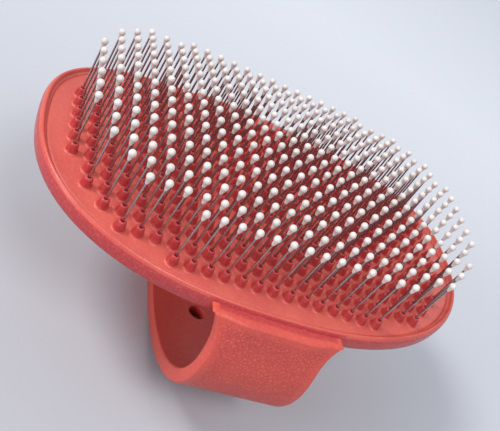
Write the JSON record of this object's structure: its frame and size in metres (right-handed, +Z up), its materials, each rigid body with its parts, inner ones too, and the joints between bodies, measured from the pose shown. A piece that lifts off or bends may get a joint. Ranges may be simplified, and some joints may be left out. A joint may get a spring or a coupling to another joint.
{
  "type": "pin palm brush",
  "caption": "Oval rubber palm brush for pets: ball-tipped steel pins in a bossed rubber cushion, with a hand strap looped across the back.",
  "frame": {"origin": "on the surface the brush stands on, under the middle of the oval head, at the foot of the hand strap", "axes": "+Z up along the pins, from the strap to the ball tips; X along the length of the oval head; Y across it"},
  "size_m": [0.128, 0.0984, 0.0662],
  "materials": {
    "red_rubber": "satin moulded rubber",
    "cushion_rubber": "satin moulded rubber",
    "strap_rubber": "rubber with a fine leather grain outside, smooth edges",
    "backing": "plain",
    "pin_steel": "drawn wire",
    "tip_resin": "glossy dipped resin"
  },
  "bodies": {
    "head": {"shell": "red_rubber", "cushion": "cushion_rubber", "backing_sheet": "backing", "hand_strap": "strap_rubber"},
    "row_01": {"pin_row_01": "pin_steel", "tip_row_01": "tip_resin"},
    "row_02": {"pin_row_02": "pin_steel", "tip_row_02": "tip_resin"},
    "row_03": {"pin_row_03": "pin_steel", "tip_row_03": "tip_resin"},
    "row_04": {"pin_row_04": "pin_steel", "tip_row_04": "tip_resin"},
    "row_05": {"pin_row_05": "pin_steel", "tip_row_05": "tip_resin"},
    "row_06": {"pin_row_06": "pin_steel", "tip_row_06": "tip_resin"},
    "row_07": {"pin_row_07": "pin_steel", "tip_row_07": "tip_resin"},
    "row_08": {"pin_row_08": "pin_steel", "tip_row_08": "tip_resin"},
    "row_09": {"pin_row_09": "pin_steel", "tip_row_09": "tip_resin"},
    "row_10": {"pin_row_10": "pin_steel", "tip_row_10": "tip_resin"},
    "row_11": {"pin_row_11": "pin_steel", "tip_row_11": "tip_resin"},
    "row_12": {"pin_row_12": "pin_steel", "tip_row_12": "tip_resin"},
    "row_13": {"pin_row_13": "pin_steel", "tip_row_13": "tip_resin"},
    "row_14": {"pin_row_14": "pin_steel", "tip_row_14": "tip_resin"},
    "row_15": {"pin_row_15": "pin_steel", "tip_row_15": "tip_resin"},
    "row_16": {"pin_row_16": "pin_steel", "tip_row_16": "tip_resin"}
  },
  "joints": [
    {"name": "row_01_lean", "type": "hinge", "parent": "head", "child": "row_01", "pos_m": [0, -0.03475, 0.04766], "axis": [1, 0, 0], "range_deg": [-5, 5], "stiffness_Nm_per_rad": 0.2},
    {"name": "row_02_lean", "type": "hinge", "parent": "head", "child": "row_02", "pos_m": [0, -0.03015, 0.04838], "axis": [1, 0, 0], "range_deg": [-5, 5], "stiffness_Nm_per_rad": 0.2},
    {"name": "row_03_lean", "type": "hinge", "parent": "head", "child": "row_03", "pos_m": [0, -0.02554, 0.04899], "axis": [1, 0, 0], "range_deg": [-5, 5], "stiffness_Nm_per_rad": 0.2},
    {"name": "row_04_lean", "type": "hinge", "parent": "head", "child": "row_04", "pos_m": [0, -0.02091, 0.04951], "axis": [1, 0, 0], "range_deg": [-5, 5], "stiffness_Nm_per_rad": 0.2},
    {"name": "row_05_lean", "type": "hinge", "parent": "head", "child": "row_05", "pos_m": [0, -0.01627, 0.04992], "axis": [1, 0, 0], "range_deg": [-5, 5], "stiffness_Nm_per_rad": 0.2},
    {"name": "row_06_lean", "type": "hinge", "parent": "head", "child": "row_06", "pos_m": [0, -0.01163, 0.05023], "axis": [1, 0, 0], "range_deg": [-5, 5], "stiffness_Nm_per_rad": 0.2},
    {"name": "row_07_lean", "type": "hinge", "parent": "head", "child": "row_07", "pos_m": [0, -0.00698, 0.05043], "axis": [1, 0, 0], "range_deg": [-5, 5], "stiffness_Nm_per_rad": 0.2},
    {"name": "row_08_lean", "type": "hinge", "parent": "head", "child": "row_08", "pos_m": [0, -0.00233, 0.05054], "axis": [1, 0, 0], "range_deg": [-5, 5], "stiffness_Nm_per_rad": 0.2},
    {"name": "row_09_lean", "type": "hinge", "parent": "head", "child": "row_09", "pos_m": [0, 0.00233, 0.05054], "axis": [1, 0, 0], "range_deg": [-5, 5], "stiffness_Nm_per_rad": 0.2},
    {"name": "row_10_lean", "type": "hinge", "parent": "head", "child": "row_10", "pos_m": [0, 0.00698, 0.05043], "axis": [1, 0, 0], "range_deg": [-5, 5], "stiffness_Nm_per_rad": 0.2},
    {"name": "row_11_lean", "type": "hinge", "parent": "head", "child": "row_11", "pos_m": [0, 0.01163, 0.05023], "axis": [1, 0, 0], "range_deg": [-5, 5], "stiffness_Nm_per_rad": 0.2},
    {"name": "row_12_lean", "type": "hinge", "parent": "head", "child": "row_12", "pos_m": [0, 0.01627, 0.04992], "axis": [1, 0, 0], "range_deg": [-5, 5], "stiffness_Nm_per_rad": 0.2},
    {"name": "row_13_lean", "type": "hinge", "parent": "head", "child": "row_13", "pos_m": [0, 0.02091, 0.04951], "axis": [1, 0, 0], "range_deg": [-5, 5], "stiffness_Nm_per_rad": 0.2},
    {"name": "row_14_lean", "type": "hinge", "parent": "head", "child": "row_14", "pos_m": [0, 0.02554, 0.04899], "axis": [1, 0, 0], "range_deg": [-5, 5], "stiffness_Nm_per_rad": 0.2},
    {"name": "row_15_lean", "type": "hinge", "parent": "head", "child": "row_15", "pos_m": [0, 0.03015, 0.04838], "axis": [1, 0, 0], "range_deg": [-5, 5], "stiffness_Nm_per_rad": 0.2},
    {"name": "row_16_lean", "type": "hinge", "parent": "head", "child": "row_16", "pos_m": [0, 0.03475, 0.04766], "axis": [1, 0, 0], "range_deg": [-5, 5], "stiffness_Nm_per_rad": 0.2}
  ]
}
